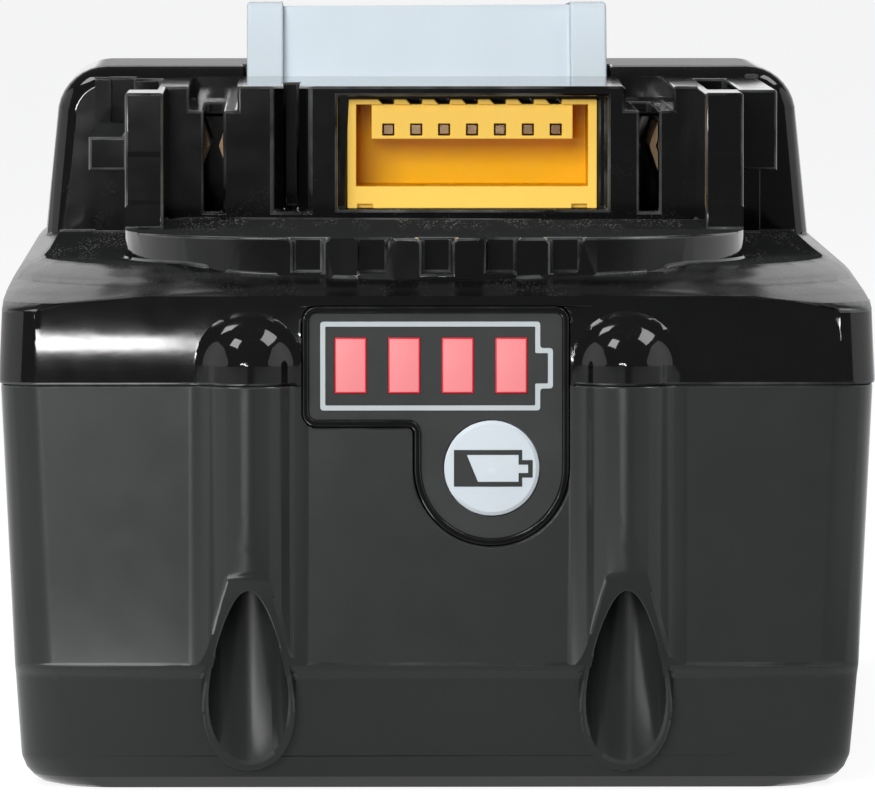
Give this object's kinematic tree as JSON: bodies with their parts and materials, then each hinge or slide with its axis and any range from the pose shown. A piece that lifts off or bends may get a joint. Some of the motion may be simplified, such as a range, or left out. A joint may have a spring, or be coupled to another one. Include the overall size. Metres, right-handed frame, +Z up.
{
  "type": "power tool battery pack",
  "caption": "Slide-on cordless tool battery pack with guide rails, yellow signal connector, spring terminals, charge gauge with check button and a sprung release latch",
  "frame": {"origin": "middle of the underside", "axes": "+Z up, -Y towards the gauge end, +Y towards the release end, +X to the right seen from the gauge end"},
  "size_m": [0.0762, 0.114, 0.0673],
  "materials": {
    "case_grey": "satin moulded",
    "case_black": "gloss moulded",
    "latch_plastic": "satin moulded",
    "inner_plastic": "moulded",
    "spring_steel": "drawn wire",
    "connector_yellow": "moulded",
    "contact_metal": "stamped",
    "bezel_black": "gloss moulded",
    "overlay_grey": "fine texture",
    "button_white": "moulded",
    "lens_red": "translucent",
    "led_red": "moulded",
    "board_green": "laminate",
    "chip_black": "moulded",
    "ribbon_pale": "film",
    "insulator_paper": "pressed sheet",
    "cell_sleeve": "shrink sleeve",
    "nickel": "rolled strip",
    "screw_steel": "plated"
  },
  "bodies": {
    "case": {"lower_case": "case_grey", "upper_case": "case_black", "latch_base": "inner_plastic", "latch_spring_left": "spring_steel", "latch_spring_right": "spring_steel", "connector_housing": "connector_yellow", "positive_terminal": "contact_metal", "negative_terminal": "contact_metal", "gauge_bezel": "bezel_black", "gauge_overlay": "overlay_grey", "gauge_board": "board_green", "tact_switch": "chip_black", "gauge_ribbon": "ribbon_pale", "main_board": "board_green", "control_chip": "chip_black", "cell_holder_left": "inner_plastic", "cell_holder_right": "inner_plastic", "insulator_left": "insulator_paper", "insulator_right": "insulator_paper", "case_screws": "screw_steel", "signal_contact_1": "contact_metal", "signal_contact_2": "contact_metal", "signal_contact_3": "contact_metal", "signal_contact_4": "contact_metal", "signal_contact_5": "contact_metal", "signal_contact_6": "contact_metal", "signal_contact_7": "contact_metal", "gauge_lens_1": "lens_red", "gauge_lens_2": "lens_red", "gauge_lens_3": "lens_red", "gauge_lens_4": "lens_red", "gauge_led_1": "led_red", "gauge_led_2": "led_red", "gauge_led_3": "led_red", "gauge_led_4": "led_red", "power_switch_1": "chip_black", "power_switch_2": "chip_black", "cell_1": "cell_sleeve", "cell_2": "cell_sleeve", "cell_3": "cell_sleeve", "cell_4": "cell_sleeve", "cell_5": "cell_sleeve", "cell_6": "cell_sleeve", "cell_7": "cell_sleeve", "cell_8": "cell_sleeve", "cell_9": "cell_sleeve", "cell_10": "cell_sleeve", "cell_tab_left_1": "nickel", "cell_tab_left_2": "nickel", "cell_tab_left_3": "nickel", "cell_tab_right_1": "nickel", "cell_tab_right_2": "nickel", "cell_tab_right_3": "nickel"},
    "latch": {"release_latch": "latch_plastic"},
    "check_button": {"check_button": "button_white", "switch_plunger": "inner_plastic"}
  },
  "joints": [
    {"name": "latch_slide", "type": "slide", "parent": "case", "child": "latch", "axis": [0, 0, -1], "range_m": [0, 0.0055], "stiffness_N_per_m": 900, "springref_m": -0.006, "deforming": ["latch_spring_left", "latch_spring_right"]},
    {"name": "check_button_press", "type": "slide", "parent": "case", "child": "check_button", "axis": [0, 1, 0], "range_m": [0, 0.0003], "stiffness_N_per_m": 5000, "springref_m": -0.0002}
  ]
}
